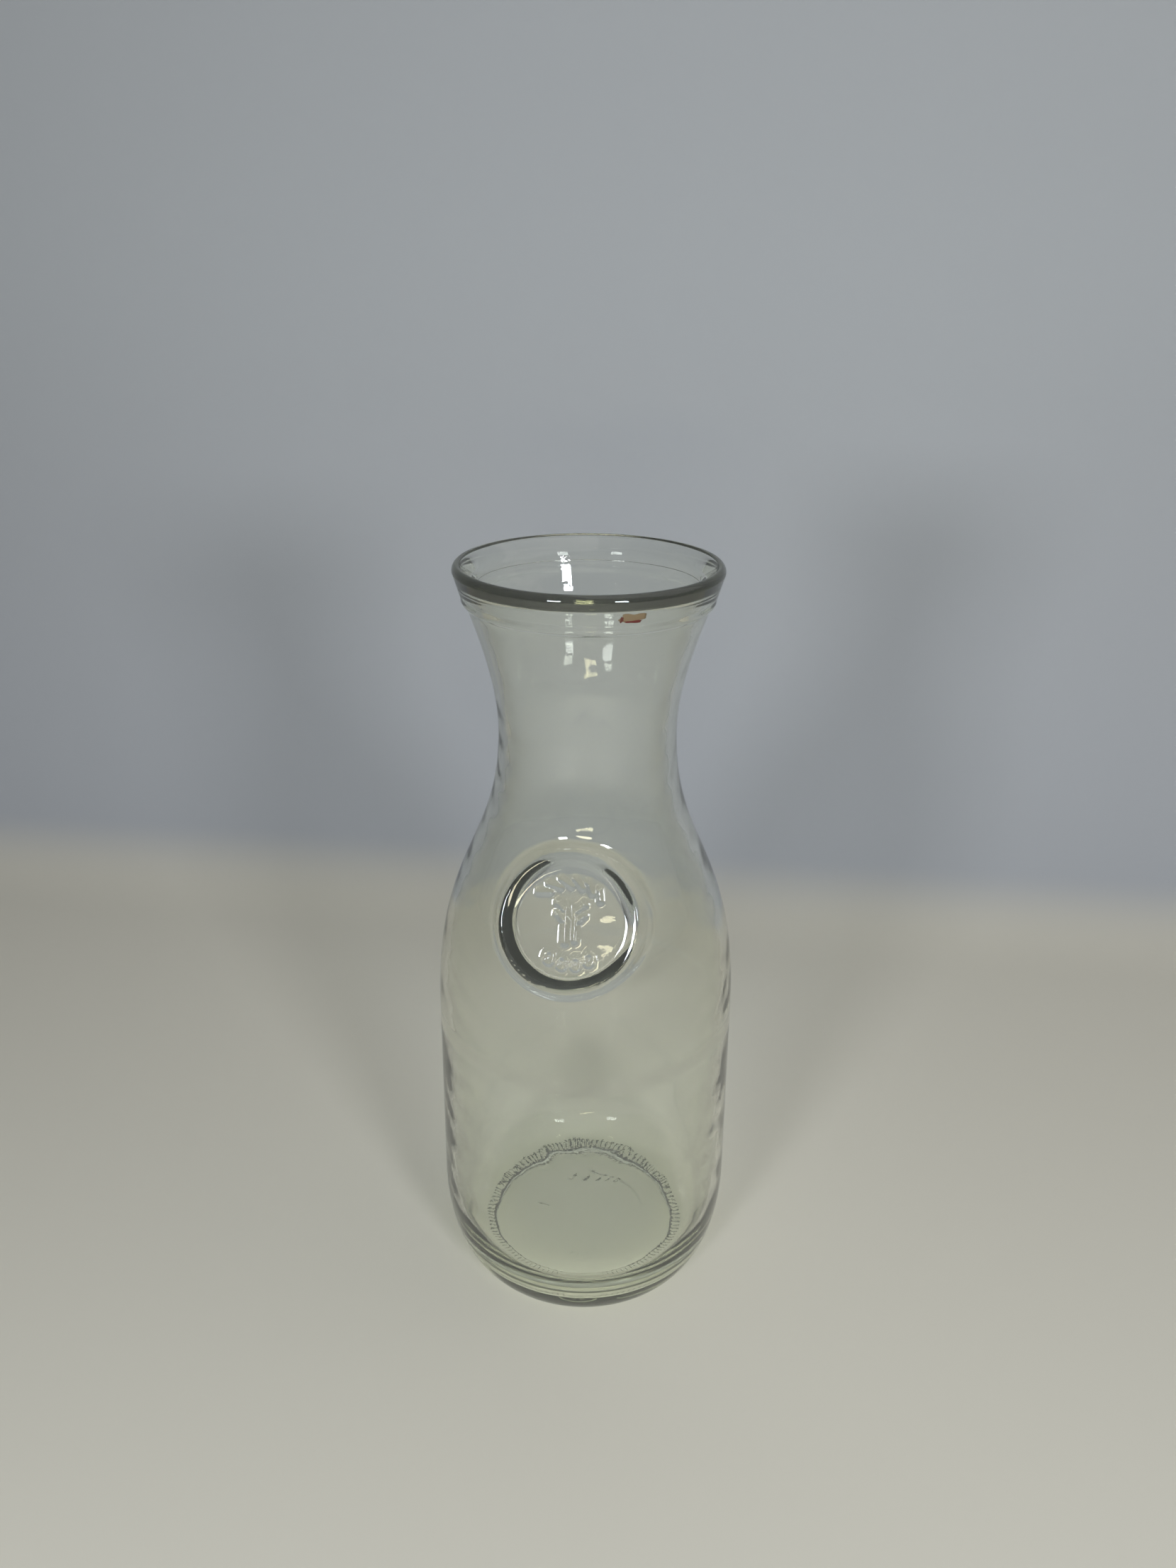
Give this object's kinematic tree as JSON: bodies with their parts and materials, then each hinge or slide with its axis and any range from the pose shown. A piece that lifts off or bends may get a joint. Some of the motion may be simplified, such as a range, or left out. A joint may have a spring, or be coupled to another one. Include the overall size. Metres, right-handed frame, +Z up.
{
  "type": "glass milk bottle",
  "caption": "Clear glass bottle with a wide flared mouth, waisted neck, sloping shoulder bearing a round pressed seal, big rounded heel and knurled base ring.",
  "frame": {"origin": "on the surface that the bottle stands on, under the middle of its base", "axes": "+Z up along the bottle's axis, the seal faces -Y, +X to the right of the seal"},
  "size_m": [0.1016, 0.1016, 0.255],
  "materials": {
    "bottle_glass": "clear, faintly grey-green, fire-polished, a little wavy inside",
    "seal_glass": "clear, faintly grey-green, pressed relief, softly rounded edges"
  },
  "bodies": {
    "root": {"bottle": "bottle_glass", "shoulder_seal": "seal_glass"}
  },
  "joints": []
}
